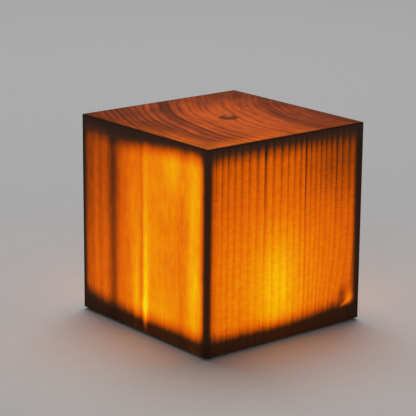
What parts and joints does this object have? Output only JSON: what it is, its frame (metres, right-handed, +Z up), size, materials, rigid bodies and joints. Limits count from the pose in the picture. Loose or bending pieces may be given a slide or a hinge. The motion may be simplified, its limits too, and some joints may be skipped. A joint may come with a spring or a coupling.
{
  "type": "cube table lamp",
  "caption": "Hollowed softwood cube table lamp: the light inside glows amber through the thin timber walls; push button in the top, recessed charging port low in the back, rubber feet.",
  "frame": {"origin": "on the table, under the middle of the cube, level with the bottom of the rubber feet", "axes": "+Z up; -X and -Y are the two show faces, +Y is the back face with the charging port; the top's button lies near the +Z axis"},
  "size_m": [0.1, 0.1, 0.1038],
  "materials": {
    "cube_timber": "sanded and oiled softwood, lit from inside",
    "post_timber": "planed softwood",
    "base_plywood": "sanded birch plywood",
    "screw_black": "blackened steel",
    "screw_bright": "zinc plated steel",
    "foot_rubber": "matt black rubber",
    "pod_white": "fine spark-eroded texture",
    "cell_foil": "satin laminated foil",
    "pad_foam": "closed-cell foam tape",
    "board_green": "solder mask",
    "chip_black": "moulded epoxy",
    "choke_ferrite": "pressed ferrite",
    "connector_ivory": "nylon",
    "lamp_clear": "clear light rod",
    "socket_steel": "drawn steel shell",
    "tongue_black": "moulded tongue",
    "liner_brown": "matt dark brown",
    "light_board_white": "white solder mask on aluminium",
    "diode_yellow": "phosphor window",
    "opal_white": "opal acrylic",
    "lead_red": "silicone insulation",
    "lead_grey": "soft insulation",
    "clip_white": "nylon",
    "sleeve_black": "shrunk sleeve",
    "rim_bronze": "dark bronze",
    "nut_brass": "turned brass",
    "switch_black": "moulded phenolic",
    "button_copper": "brushed copper tone",
    "spring_steel": "drawn wire"
  },
  "bodies": {
    "lamp": {"timber_cube": "cube_timber", "corner_posts": "post_timber", "base_board": "base_plywood", "base_screws": "screw_black", "rubber_feet": "foot_rubber", "pod_tray": "pod_white", "tray_screws": "screw_bright", "pod_lid": "pod_white", "lid_screws": "screw_bright", "battery_cell": "cell_foil", "battery_pad": "pad_foam", "control_board": "board_green", "board_screws": "screw_bright", "board_chips": "chip_black", "choke": "choke_ferrite", "lead_connectors": "connector_ivory", "charge_lamp": "lamp_clear", "charging_socket": "socket_steel", "socket_tongue": "tongue_black", "port_liner": "liner_brown", "light_board": "light_board_white", "light_board_screws": "screw_bright", "light_diodes": "diode_yellow", "opal_cap": "opal_white", "battery_lead": "lead_red", "light_lead": "lead_red", "switch_lead": "lead_grey", "lead_clips": "clip_white", "lug_sleeve": "sleeve_black", "button_rim": "rim_bronze", "barrel_washer": "screw_bright", "barrel_nut": "nut_brass", "switch_body": "switch_black", "switch_contacts": "nut_brass", "button_spring": "spring_steel"},
    "button": {"button_cap": "button_copper", "contact_bridge": "nut_brass"}
  },
  "joints": [
    {"name": "button_press", "type": "slide", "parent": "lamp", "child": "button", "axis": [0, 0, -1], "range_m": [0, 0.0015], "stiffness_N_per_m": 800, "springref_m": -0.0012, "deforming": ["button_spring"]}
  ]
}
